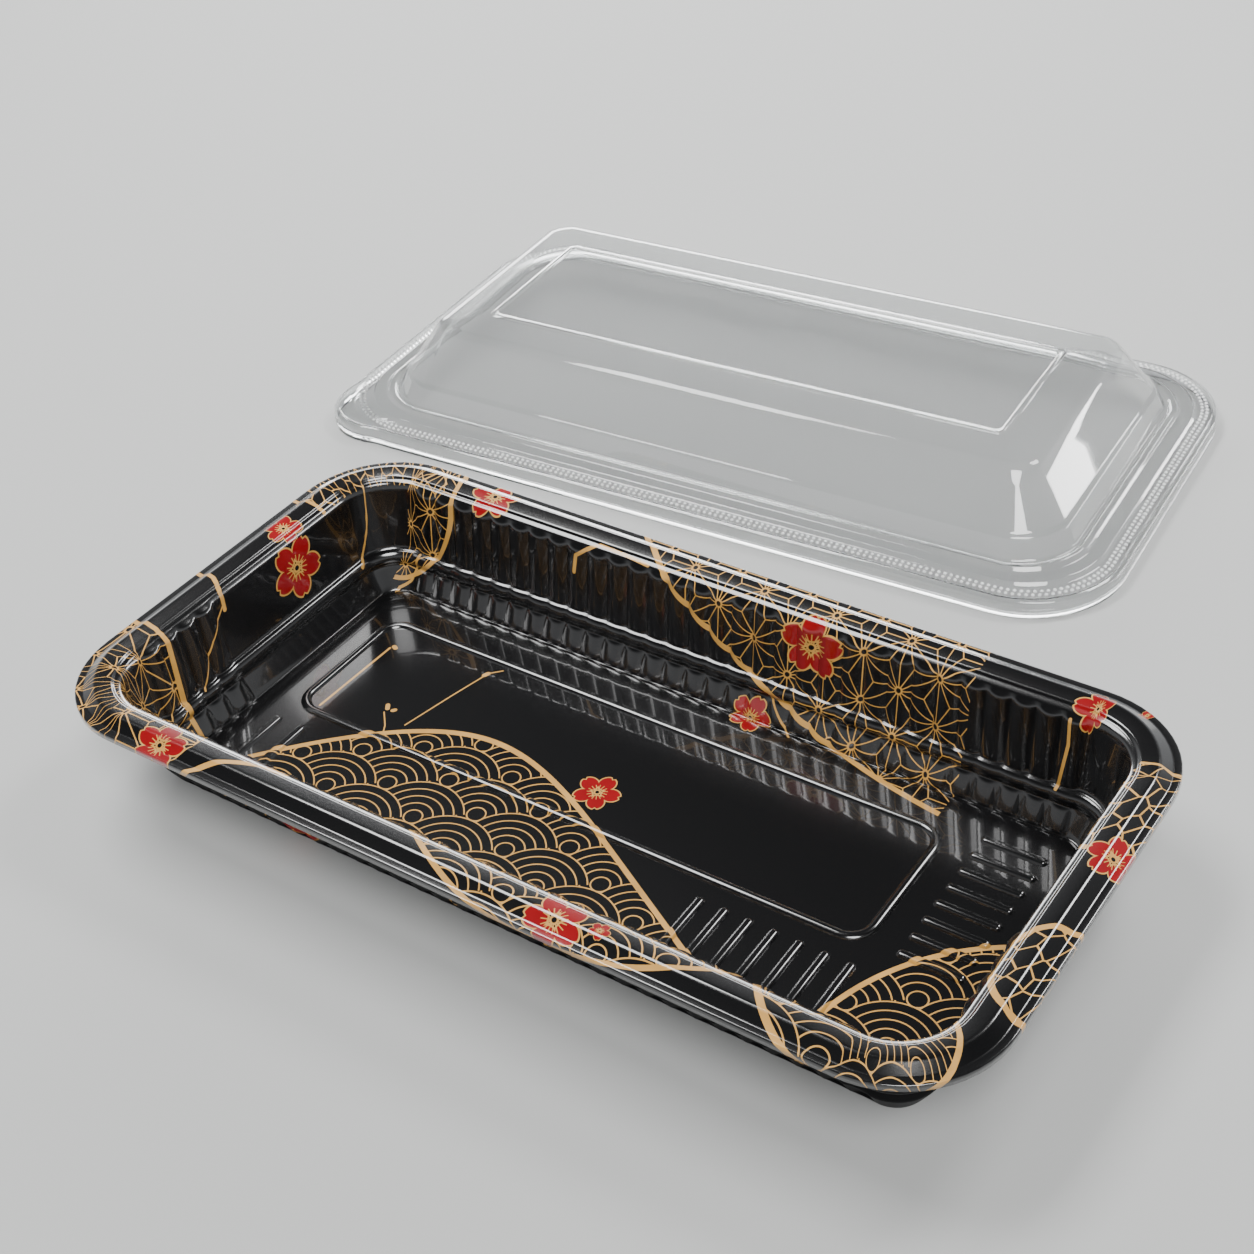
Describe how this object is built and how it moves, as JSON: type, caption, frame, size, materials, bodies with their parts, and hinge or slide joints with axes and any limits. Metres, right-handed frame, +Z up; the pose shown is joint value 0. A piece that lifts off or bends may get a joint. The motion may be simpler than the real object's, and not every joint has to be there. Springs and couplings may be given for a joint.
{
  "type": "sushi box",
  "caption": "Low rectangular takeaway tray with a broad stepped rim and fluted walls, with its clear domed lid lying beside it.",
  "frame": {"origin": "centre of the tray's underside, on the surface that the box stands on", "axes": "+X along the tray's long sides, +Y from the near side towards the lid behind the tray, +Z up"},
  "size_m": [0.3313, 0.3307, 0.0345],
  "materials": {
    "printed_black_plastic": "gloss black sheet printed with gold line patterns and red blossoms",
    "clear_plastic": "clear polished sheet"
  },
  "bodies": {
    "root": {"tray": "printed_black_plastic", "lid": "clear_plastic"}
  },
  "joints": []
}
